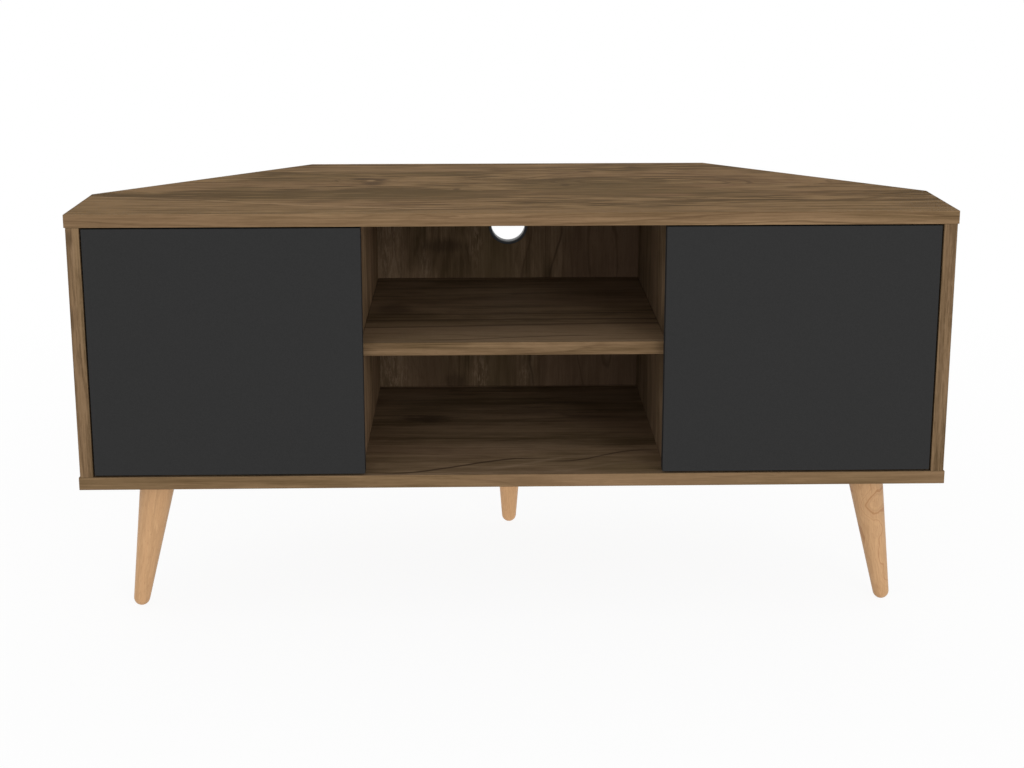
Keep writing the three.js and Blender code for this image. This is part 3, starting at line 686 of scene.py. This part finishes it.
# Each board's grain, the face that shows most and what stands out in its print
boards = {
    "top_panel": dict(
        grain=(1, 0, 0), facing=(0, 0, 1), seed=(3.2, 9.1, 0), crown=(0.20, 0.005, 0), crownReach=6.0,
        knot=(-0.209, 0.045, 0), knotReach=3.5, figure=0.42, streaks=0.62, dashes=0.85, contrast=1.45,
        mottle=0.2, gain=(0.92, 0.885, 0.78), edgeLift=0.0, edgeGain=1.08,
        veinsAndShadeEdges=[
            veinAndShadeEdge((-0.62, -0.083), (-0.12, -0.185), 0.007, 0.02, "pale", 0.95, "light", 0.45),
            veinAndShadeEdge((-0.50, -0.195), (0.05, -0.200), 0.004, 0.02, "stripe", 0.5),
            veinAndShadeEdge((-0.14, 0.040), (0.02, 0.092), 0.004, 0.006, "pale", 0.45),
            veinAndShadeEdge((-0.02, 0.050), (0.12, 0.128), 0.005, 0.010, "stripe", 0.5),
            veinAndShadeEdge((0.02, 0.045), (0.14, 0.083), 0.006, 0.010, "stripe", 0.4),
            veinAndShadeEdge((0.12, 0.083), (0.42, 0.080), 0.006, 0.010, "stripe", 0.35),
            veinAndShadeEdge((-0.03, -0.112), (0.60, -0.121), 0.0035, 0.008, "pale", 0.45),
            veinAndShadeEdge((0.10, -0.131), (0.60, -0.134), 0.005, 0.008, "stripe", 0.5),
            veinAndShadeEdge((-0.03, -0.055), (0.20, -0.074), 0.004, 0.010, "pale", 0.35),
        ],
        patches=[
            patch((-0.30, -0.085), (0.30, 0.060), "olive", 0.5, 1.6),
            patch((-0.29, 0.085), (0.14, 0.070), "olive", 0.45, 1.8),
            patch((-0.12, -0.075), (0.17, 0.075), "olive", 0.5, 1.6),
            patch((-0.46, -0.090), (0.10, 0.028), "stripe", 0.35),
            patch((-0.20, 0.160), (0.22, 0.045), "pale", 0.35, 1.2),
            patch((0.06, 0.195), (0.16, 0.022), "pale", 0.3, 1.2),
            patch((0.42, -0.165), (0.20, 0.030), "light", 0.5, 1.2),
            patch((-0.40, -0.015), (0.06, 0.030), "olive", 0.6, 1.2),
            patch((-0.118, 0.120), (0.08, 0.024), "olive", 0.7, 1.2),
            patch((0.12, 0.0), (0.17, 0.075), "olive", 0.6),
            patch((0.20, -0.065), (0.24, 0.050), "olive", 0.6),
            patch((0.307, -0.005), (0.045, 0.016), "flush", 0.6),
            patch((0.226, -0.085), (0.055, 0.016), "flush", 0.6),
            patch((-0.222, 0.070), (0.026, 0.013), "knot", 0.7, 0.5),
            patch((-0.197, 0.062), (0.020, 0.014), "knot", 0.6, 0.5),
            patch((-0.204, 0.026), (0.022, 0.022), "knot", 0.65, 0.5),
            patch((-0.209, 0.053), (0.009, 0.009), "pale", 0.8, 0.3),
            patch((-0.079, -0.028), (0.008, 0.012), "knot", 0.6),
            patch((0.081, 0.004), (0.010, 0.014), "knot", 0.5),
            patch((0.120, 0.135), (0.016, 0.010), "knot", 0.5),
            patch((0.194, 0.180), (0.014, 0.008), "knot", 0.5),
        ],
    ),
    "bottom_panel": dict(
        grain=(1, 0, 0), facing=(0, 0, 1), seed=(7.9, 4.1, 0), contrast=1.05, mottle=0.35,
        # The gain is painted light: it lightens and cools this board against the warm, dark shade inside the
        # bay
        gain=(1.02, 1.08, 1.20), edgeLift=0.0, edgeGain=1.08,
        veinsAndShadeEdges=[
            veinAndShadeEdge((-0.17, -0.216), (0.02, -0.158), 0.005, 0.008, "knot", 0.95),
            veinAndShadeEdge((0.07, -0.170), (0.19, -0.124), 0.0045, 0.008, "knot", 0.85),
            veinAndShadeEdge((-0.04, -0.200), (0.10, -0.150), 0.008, 0.010, "pale", 0.35),
            veinAndShadeEdge((0.04, -0.215), (0.19, -0.175), 0.008, 0.010, "pale", 0.3),
            veinAndShadeEdge((0.01, -0.118), (0.06, -0.112), 0.003, 0.006, "stripe", 0.5),
        ],
        patches=[
            patch((-0.129, 0.033), (0.055, 0.024), "knot", 0.75, 1.6),
            patch((0.130, 0.035), (0.055, 0.015), "stripe", 0.5, 1.6),
            patch((0.10, 0.113), (0.08, 0.012), "knot", 0.5, 1.2),
            patch((0.02, -0.10), (0.14, 0.030), "pale", 0.3, 1.8),
            patch((0.0, -0.030), (0.26, 0.035), "light", 0.35, 1.2),
            patch((0.03, 0.070), (0.08, 0.030), "stripe", 0.45, 1.2),
            patch((0.15, 0.160), (0.11, 0.060), "pale", 0.45, 1.2),
            patch((-0.16, 0.150), (0.07, 0.060), "pale", 0.25, 1.2),
            patch((0.15, -0.200), (0.09, 0.030), "olive", 0.35, 1.2),
        ],
    ),
    "centre_shelf": dict(
        grain=(1, 0, 0), facing=(0, 0, 1), seed=(11.3, 2.2, 0), contrast=1.05, mottle=0.35,
        # The gain is painted light against the bay's shade, as on the bottom board, and the edge gain below 1
        # is painted shade on the recessed front edge under the top's overhang
        gain=(1.02, 1.08, 1.20), edgeLift=0.0, edgeGain=0.86, edgeCalm=-0.2,
        veinsAndShadeEdges=[
            veinAndShadeEdge((-0.20, -0.043), (0.22, -0.040), 0.006, 0.012, "knot", 0.5),
            # Painted shadow edges across the shelf, with painted light on the front strip before each
            veinAndShadeEdge((-0.25, -0.078), (0.25, -0.074), 0.007, 0.012, "knot", 0.65, "light", 0.3),
            veinAndShadeEdge((-0.25, -0.118), (0.25, -0.100), 0.006, 0.008, "knot", 0.7, "light", 0.25),
            veinAndShadeEdge((-0.11, -0.190), (0.10, -0.170), 0.004, 0.006, "knot", 0.65),
        ],
        patches=[
            patch((-0.174, -0.012), (0.038, 0.050), "knot", 0.5, 1.2),
            patch((0.15, 0.160), (0.10, 0.060), "pale", 0.45, 1.2),
            patch((-0.16, 0.170), (0.06, 0.045), "pale", 0.25, 1.2),
        ],
    ),
    "left_side_panel": dict(
        grain=(0, 0, 1), facing=(-1, 0, 0), seed=(5.1, 9.3, 0), contrast=1.5,
        edgeLift=0.15, edgeGain=0.88, edgeCalm=-1.2,
        patches=[
            patch((0.392, 2.178), (0.25, 0.05), "pale", 0.35, 1.2, 1.0),
            patch((0.553, 2.188), (0.016, 0.013), "knot", 0.6, 1.2),
            patch((0.530, 2.178), (0.024, 0.006), "pale", 0.5),
            patch((0.500, 2.193), (0.060, 0.005), "stripe", 0.5),
            patch((0.442, 2.192), (0.022, 0.008), "knot", 0.6, 1.2),
        ],
    ),
    "right_side_panel": dict(
        grain=(0, 0, 1), facing=(1, 0, 0), seed=(9.6, 6.7, 0), contrast=1.5,
        edgeLift=0.15, edgeGain=0.80, edgeCalm=-1.6,
        patches=[
            patch((0.392, -0.178), (0.25, 0.05), "pale", 0.55, 1.2, 1.0),
            patch((0.392, -0.170), (0.25, 0.008), "stripe", 0.35, 1.2),
        ],
    ),
    # The dividers' gains are painted light: they lighten and cool them against the bay's shade, the left one
    # more as it faces the light from the right
    "left_divider": dict(grain=(0, 0, 1), facing=(1, 0, 0), seed=(2.8, 12.1, 0), mottle=0.5,
                         gain=(1.35, 1.38, 1.52)),
    "right_divider": dict(grain=(0, 0, 1), facing=(-1, 0, 0), seed=(14.2, 3.9, 0), mottle=0.5,
                          gain=(1.05, 1.12, 1.28)),
    "left_diagonal_panel": dict(grain=(0, 0, 1), facing=(-0.7, 0.7, 0), seed=(6.4, 15.8, 0)),
    "right_diagonal_panel": dict(grain=(0, 0, 1), facing=(0.7, 0.7, 0), seed=(12.9, 8.8, 0)),
    "back_panel": dict(
        grain=(0, 0, 1), facing=(0, -1, 0), seed=(1.7, 18.6, 0), rings=24.0, wander=12.0,
        contrast=1.2, mottle=0.45, gain=(0.88, 0.92, 1.02),
        veinsAndShadeEdges=[
            veinAndShadeEdge((0.20, -0.035), (0.52, -0.092), 0.007, 0.05, "pale", 0.3, "flush", 0.6),
            veinAndShadeEdge((0.40, -0.066), (0.48, -0.086), 0.003, 0.02, "knot", 0.6),
            veinAndShadeEdge((0.40, -0.021), (0.48, -0.037), 0.003, 0.02, "stripe", 0.6),
            veinAndShadeEdge((0.215, -0.040), (0.275, -0.036), 0.003, 0.02, "knot", 0.6),
        ],
        patches=[
            patch((0.35, 0.020), (0.34, 0.040), "olive", 0.55),
            patch((0.35, 0.192), (0.40, 0.030), "pale", 0.75, 1.6, 0.8),
            patch((0.425, 0.135), (0.05, 0.014), "pale", 0.7, 1.0, 0.7),
            patch((0.46, 0.053), (0.05, 0.014), "pale", 0.6, 1.0, 1.0),
            patch((0.245, 0.178), (0.04, 0.022), "pale", 0.7, 1.0, 0.9),
            patch((0.24, 0.046), (0.04, 0.018), "pale", 0.8, 1.0, 1.0),
            patch((0.235, -0.026), (0.03, 0.014), "pale", 0.6, 1.0, 1.0),
            patch((0.455, 0.106), (0.016, 0.045), "knot", 0.6, 1.6),
            patch((0.440, 0.106), (0.035, 0.050), "stripe", 0.35, 1.6),
            patch((0.228, 0.088), (0.018, 0.026), "knot", 0.6, 1.6),
            patch((0.245, 0.115), (0.07, 0.060), "stripe", 0.5, 1.2),
        ],
    ),
}


def makeBoards():
    for node, board in boards.items():
        material = makeWalnut(node.replace("_", " ") + " walnut", board)
        bm = tidyCopy(node)
        softenEdges(bm, boardEdge)
        markEdging(bm, seamWidth)
        layGrain(bm, board["grain"], board["facing"])
        finishPiece(bm, node + "_board", bodyOfNode[node], material, [node])
    print("boards made:", len(boards))


doorEdge = 0.8 * mm
doorEdgeSteps = 3


def makeDoors():
    for side in sides:
        node = f"{side}_door"
        bm = tidyCopy(node)
        softenEdges(bm, doorEdge, doorEdgeSteps)
        finishPiece(bm, node + "_board", node, materials["anthracite"], [node])
    print("doors made")


# Legs lean away from the middle: heading is the direction of the lean in plan, and swirlDrop says how far
# below the bottom board the grain's swirl shows
legs = {
    "left_leg": dict(heading=180, look=dict(shift=(0.31, 0.12, 0.4))),
    "right_leg": dict(heading=0, swirlDrop=50 * mm,
                      look=dict(shift=(0.77, 0.45, 0.9), figure=4.0, curl=15.0, ringStrength=0.75,
                                swirlReach=3.2, gain=0.97)),
    # The rear leg's gain is painted light, lifting it out of the shade under the body
    "rear_leg": dict(heading=90, look=dict(shift=(0.15, 0.83, 0.2), gain=1.25)),
}
legLean = math.radians(10)
legSmoothAngle = 25


def makeLegs():
    for name, leg in legs.items():
        heading = math.radians(leg["heading"])
        turn = (Matrix.Rotation(legLean, 3, "Y") @ Matrix.Rotation(-heading, 3, "Z")).to_euler()
        look = dict(leg["look"])
        if "swirlDrop" in leg:
            drop = leg["swirlDrop"]
            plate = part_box(name + "_plate")
            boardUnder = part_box("bottom_panel")[0].z
            reach = drop * math.tan(legLean) * math.cos(heading)
            look["swirl"] = (middle(plate).x + reach, plate[0].y, boardUnder - drop)
        material = makeBeech(name.replace("_", " ") + " beech", tuple(turn), look)
        bm = tidyCopy(name)
        finishPiece(bm, name + "_turned", "carcass", material, [name], legSmoothAngle)
    print("legs made")


# A low domed screw head with a cross recess, looking up the Z axis
screwHead = {
    "radius": 3.6 * mm,
    "height": 1.4 * mm,
    "sides": 24,
    "rings": ((0.97, 0.45), (0.80, 0.36), (0.45, 0.19)),     # shares of the radius and of the height
    "slotWidth": 0.9 * mm,
    "slotReach": 0.66,
}


def makeScrewHead():
    look = screwHead
    radius, height = look["radius"], look["height"]
    bm = bmesh.new()
    bmesh.ops.create_circle(bm, cap_ends=True, radius=radius, segments=look["sides"])
    for index, (share, rise) in enumerate(look["rings"]):
        caps = [face for face in bm.faces if len(face.verts) == look["sides"]]
        if index == 0:
            raisedUp = bmesh.ops.extrude_face_region(bm, geom=caps)
            ring = [item for item in raisedUp["geom"] if isinstance(item, bmesh.types.BMVert)]
        else:
            cap = max(caps, key=lambda face: face.calc_center_median().z)
            bmesh.ops.inset_region(bm, faces=[cap], thickness=0)
            ring = list(cap.verts)
        bmesh.ops.translate(bm, verts=ring, vec=(0, 0, rise * height))
        reach = max(math.hypot(vert.co.x, vert.co.y) for vert in ring)
        bmesh.ops.scale(bm, verts=ring, vec=(share * radius / reach, share * radius / reach, 1))
    bmesh.ops.recalc_face_normals(bm, faces=bm.faces)
    head = addMesh("screw head", bm)
    length, width = 2 * radius * look["slotReach"], look["slotWidth"]
    cutters = []
    for size in ((width, length, height), (length, width, height)):
        bm = bmesh.new()
        place = Matrix.Translation((0, 0, height)) @ Matrix.Diagonal((*size, 1))
        bmesh.ops.create_cube(bm, size=1, matrix=place)
        cutters.append(addMesh("screw slot", bm))
        recess = head.modifiers.new("recess", "BOOLEAN")
        recess.operation = "DIFFERENCE"
        recess.solver = "EXACT"
        recess.object = cutters[-1]
    depsgraph = bpy.context.evaluated_depsgraph_get()
    mesh = bpy.data.meshes.new_from_object(head.evaluated_get(depsgraph))
    for done in (head, *cutters):
        bpy.data.objects.remove(done)
    return mesh


# Screw places, measured on each fitting's own box
screwPlaces = {
    "earOffset": 24 * mm,
    "wingOffset": 20 * mm,
    "wingSetBack": 7 * mm,
    "armBodyLength": 47 * mm,
    "armOffsets": (10 * mm, 37 * mm),    # behind the front end of the arm's body
    "armFaceHeight": 8.5 * mm,
    "armScale": 0.9,
    "latchInset": 13 * mm,
    "latchScale": 0.75,
    "legOffset": 24 * mm,
    "legPlateThickness": 3 * mm,
    "firstSpin": 17,                     # degrees; no two recesses of a piece are turned alike
    "nextSpin": 47,
    "smoothAngle": 40,
}


# The turn that brings the Z axis to a direction
def turnTowards(direction):
    return Vector(direction).to_track_quat("Z", "Y").to_matrix().to_4x4()


# Screw heads at the given places, all looking along one direction
def addScrews(name, body, template, places, direction, scale=1.0):
    look = screwPlaces
    bm = bmesh.new()
    for index, place in enumerate(places):
        before = len(bm.verts)
        bm.from_mesh(template)
        bm.verts.ensure_lookup_table()
        spin = Matrix.Rotation(math.radians(look["firstSpin"] + look["nextSpin"] * index), 4, "Z")
        moved = Matrix.Translation(place) @ turnTowards(direction) @ spin @ Matrix.Scale(scale, 4)
        bmesh.ops.transform(bm, matrix=moved, verts=bm.verts[before:])
    finishPiece(bm, name, body, materials["zinc"], smoothAngle=look["smoothAngle"])


def makeScrews():
    look = screwPlaces
    template = makeScrewHead()
    ends = (-1, 1)
    for side, inward in sides.items():
        sideways = (inward, 0, 0)
        for level in levels:
            hinge = f"{side}_{level}_hinge"
            cup, plate, arm = (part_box(f"{hinge}_{part}") for part in ("cup", "plate", "arm"))
            ears = [(middle(cup).x, cup[1].y, middle(cup).z + end * look["earOffset"]) for end in ends]
            addScrews(hinge + "_cup_screws", f"{side}_door", template, ears, (0, 1, 0))
            plateFace = plate[1].x if inward > 0 else plate[0].x
            wingY = middle(plate).y - look["wingSetBack"]
            wings = [(plateFace, wingY, middle(plate).z + end * look["wingOffset"]) for end in ends]
            addScrews(hinge + "_plate_screws", "carcass", template, wings, sideways)
            armFace = plateFace + inward * look["armFaceHeight"]
            bodyFront = arm[1].y - look["armBodyLength"]
            adjusters = [(armFace, bodyFront + offset, middle(arm).z) for offset in look["armOffsets"]]
            addScrews(hinge + "_arm_screws", "carcass", template, adjusters, sideways, look["armScale"])
        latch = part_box(f"{side}_latch_body")
        latchFace = latch[0].x if inward > 0 else latch[1].x
        latchEnds = (latch[0].y + look["latchInset"], latch[1].y - look["latchInset"])
        holders = [(latchFace, y, middle(latch).z) for y in latchEnds]
        addScrews(f"{side}_latch_screws", "carcass", template, holders, (-inward, 0, 0), look["latchScale"])
    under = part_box("bottom_panel")[0].z - look["legPlateThickness"]
    for name in legs:
        centre = middle(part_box(name + "_plate"))
        corners = [(centre.x + a * look["legOffset"], centre.y + b * look["legOffset"], under)
                   for a in ends for b in ends]
        addScrews(name + "_plate_screws", "carcass", template, corners, (0, 0, -1))
    print("screws made")


fittingSmoothAngle = 28

# Shallow caps over the cam locks on the cupboard faces of the uprights
camCover = {
    "radius": 8.5 * mm,
    "rise": 0.7 * mm,
    "taper": 0.93,
    "rim": 0.35,                         # share of the radius
    "dish": 0.4,                         # share of the rise
    "edge": 0.15 * mm,
    "endDistance": 34 * mm,
    "sides": 32,
}
camCoverPlaces = {"side_panel": (-0.200, -0.100), "divider": (-0.120, 0.060)}     # along Y


def makeCamCovers():
    look = camCover
    uprights = [(side, kind) for kind in camCoverPlaces for side in sides]
    for side, kind in uprights:
        node = f"{side}_{kind}"
        outward = sides[side] if kind == "side_panel" else -sides[side]
        low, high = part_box(node)
        faceX = high.x if outward > 0 else low.x
        turn = turnTowards((outward, 0, 0))
        bm = bmesh.new()
        for y in camCoverPlaces[kind]:
            for z in (low.z + look["endDistance"], high.z - look["endDistance"]):
                place = Matrix.Translation((faceX + outward * look["rise"] / 2, y, z)) @ turn
                bmesh.ops.create_cone(bm, cap_ends=True, segments=look["sides"], matrix=place,
                                      radius1=look["radius"], radius2=look["radius"] * look["taper"],
                                      depth=look["rise"])
        rounds = [face for face in bm.faces if len(face.verts) == look["sides"]]
        caps = [face for face in rounds if face.normal.x * outward > 0.9]
        bmesh.ops.inset_individual(bm, faces=caps, thickness=look["radius"] * look["rim"],
                                   depth=-look["rise"] * look["dish"])
        softenEdges(bm, look["edge"])
        finishPiece(bm, node + "_cam_covers", "carcass", materials["capPlastic"],
                    smoothAngle=fittingSmoothAngle)
    print("cam covers made")


# The ring that lines the cable hole, its opening drawn in to the clear width that shows
grommetLook = {"opening": 54.4 * mm, "wallReach": 0.1 * mm, "edge": 0.35 * mm, "edgeSteps": 3}


def makeGrommet():
    look = grommetLook
    node = "cable_grommet"
    bm = tidyCopy(node)
    centre = middle(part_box(node))
    distances = {vert: math.hypot(vert.co.x - centre.x, vert.co.z - centre.z) for vert in bm.verts}
    opening = min(distances.values())
    wall = [vert for vert, distance in distances.items() if distance < opening + look["wallReach"]]
    drawn = look["opening"] / 2 / opening
    bmesh.ops.scale(bm, verts=wall, vec=(drawn, 1, drawn), space=Matrix.Translation(-centre))
    softenEdges(bm, look["edge"], look["edgeSteps"])
    finishPiece(bm, node + "_finished", "carcass", materials["greyPlastic"], [node],
                fittingSmoothAngle)
    print("grommet made")


# Material, slot and edge rounding of each kind of small fitting
fittings = {
    "latch_body": ("greyPlastic", "grey_plastic", 0.8 * mm),
    "latch_plunger": ("greyPlastic", "grey_plastic", 0.8 * mm),
    "latch_strike": ("steel", "steel", 0.3 * mm),
    "bumper": ("rubber", "clear_rubber", 0.6 * mm),
    "hinge_cup": ("steel", "steel", 0.3 * mm),
    "hinge_arm": ("steel", "steel", 0.5 * mm),
    "hinge_plate": ("steel", "steel", 0.4 * mm),
    "hinge_pin": ("steel", "steel", 0.2 * mm),
    "leg_plate": ("steel", "steel", 0.5 * mm),
    "leg_bolt": ("zinc", "steel", 0.5 * mm),
    "shelf_dowel": ("dowelBeech", "beech", 0.8 * mm),
}


# Every node of a kind is named after its place, then the kind
def makeFittings():
    materials["dowelBeech"] = makeBeech("dowel beech", (0, math.radians(90), 0), dict(shift=(0.2, 0.2, 0.2)))
    plan = []
    for side in sides:
        plan += [(side, kind) for kind in ("latch_body", "latch_plunger", "latch_strike")]
        plan += [(f"{side}_{level}", "bumper") for level in levels]
    for side in sides:
        for level in levels:
            plan += [(f"{side}_{level}", f"hinge_{part}") for part in ("cup", "arm", "plate", "pin")]
    for leg in legs:
        plan += [(leg.removesuffix("_leg"), kind) for kind in ("leg_plate", "leg_bolt")]
    for side in sides:
        plan += [(f"{side}_{end}", "shelf_dowel") for end in ("front", "rear")]
    for place, kind in plan:
        node = f"{place}_{kind}"
        material, slotName, edge = fittings[kind]
        bm = tidyCopy(node)
        softenEdges(bm, edge)
        finishPiece(bm, node + "_finished", bodyOfNode[node], materials[material], [node],
                    fittingSmoothAngle)
    print("fittings made:", len(plan))


# Fitted to the photograph's edges, with the optical axis held at the middle column and at a chosen row
cameraLook = {
    "place": (-0.04595, -2.31666, 0.96211),
    "turn": -0.020699,
    "down": 0.213826,
    "roll": -0.000854,
    "focalPixels": 1590.04,
    "axisRow": 270.0,
    "width": 1024,
    "height": 768,
    "sensorWidth": 36,
    "clipEnd": 50,
}


def makeCamera():
    look = cameraLook
    camera = addObject("camera", bpy.data.cameras.new("camera"))
    aim = Matrix.Rotation(look["turn"], 4, "Z") @ Matrix.Rotation(math.pi / 2 - look["down"], 4, "X")
    camera.matrix_world = Matrix.Translation(look["place"]) @ aim @ Matrix.Rotation(look["roll"], 4, "Z")
    camera.data.sensor_width = look["sensorWidth"]
    camera.data.lens = look["focalPixels"] / look["width"] * look["sensorWidth"]
    camera.data.shift_y = (look["axisRow"] - look["height"] / 2) / look["width"]
    camera.data.clip_end = look["clipEnd"]
    bpy.context.scene.camera = camera


# Two soft lamps far in front, low enough to reach into the bay; turn counts from straight ahead, to the right
studio = {
    "sky": 0.88,
    "lamps": {
        "key": dict(turn=25, height=14, spread=22, distance=7.0, power=96.0),
        "fill": dict(turn=-20, height=14, spread=22, distance=7.0, power=26.0),
    },
    "aim": (0, 0, 0.4),
    "floorSize": 12,
    "floorPale": shown(252, 252, 252),
    "floorGlow": 0.35,
    "shadowShare": 0.09,
    "shadowNear": 0.8,
    "shadowFar": 2.2,
}


# 1 where a surface is seen itself, in a reflection or through another, and 0 where it only gives light
def seenShare(tree):
    path = put(tree, "ShaderNodeLightPath").outputs
    seen = mathNode(tree, "MAXIMUM", path["Is Camera Ray"], path["Is Glossy Ray"])
    return mathNode(tree, "MAXIMUM", seen, path["Is Transmission Ray"])


def makeSky():
    world = bpy.data.worlds.new("studio")
    bpy.context.scene.world = world
    world.use_nodes = True
    tree = world.node_tree
    strength = mathNode(tree, "MULTIPLY_ADD", seenShare(tree), 1.0 - studio["sky"], studio["sky"])
    feed(tree, tree.nodes["Background"].inputs, {"Color": (1, 1, 1, 1), "Strength": strength})


def makeLamps():
    aim = Vector(studio["aim"])
    for name, lamp in studio["lamps"].items():
        turn, height = math.radians(lamp["turn"]), math.radians(lamp["height"])
        level = math.cos(height)
        away = Vector((level * math.sin(turn), -level * math.cos(turn), math.sin(height)))
        light = bpy.data.lights.new(name + " light", "AREA")
        light.shape = "DISK"
        light.size = 2 * lamp["distance"] * math.tan(math.radians(lamp["spread"] / 2))
        light.energy = lamp["power"]
        made = addObject(name + " light", light)
        made.location = aim + away * lamp["distance"]
        made.rotation_euler = away.to_track_quat("Z", "Y").to_euler()


# A pale floor that takes a faint shadow near the cabinet and can't be seen from below
def makeFloor():
    material, tree, shader = newMaterial("pale floor", dict(roughness=1.0, specular=0.0))
    feed(tree, shader, {"Base Color": studio["floorPale"]})
    glow = put(tree, "ShaderNodeEmission", {"Color": (1, 1, 1, 1), "Strength": 1.0})
    place = put(tree, "ShaderNodeTexCoord").outputs["Object"]
    away = vectorNode(tree, "LENGTH", place)
    glowing = ramp(tree, away, studio["shadowNear"], studio["shadowFar"], 1.0 - studio["shadowShare"], 1.0)
    seen = times(tree, seenShare(tree), glowing)
    share = mathNode(tree, "MAXIMUM", seen, studio["floorGlow"])
    lit = tree.nodes["Principled BSDF"].outputs[0]
    mixed = put(tree, "ShaderNodeMixShader", {0: share, 1: lit, 2: glow.outputs[0]})
    below = put(tree, "ShaderNodeNewGeometry").outputs["Backfacing"]
    clear = put(tree, "ShaderNodeBsdfTransparent").outputs[0]
    oneSided = put(tree, "ShaderNodeMixShader", {0: below, 1: mixed.outputs[0], 2: clear})
    feed(tree, tree.nodes["Material Output"].inputs, {"Surface": oneSided.outputs[0]})
    bm = bmesh.new()
    bmesh.ops.create_grid(bm, x_segments=1, y_segments=1, size=studio["floorSize"])
    floor = addMesh("floor", bm)
    floor.data.materials.append(material)


bpy.context.scene.view_settings.view_transform = "Standard"
makeCamera()
makeSky()
makeLamps()
makeFloor()
print("studio made")
makeBoards()
makeDoors()
makeLegs()
makeGrommet()
makeFittings()
makeScrews()
makeCamCovers()
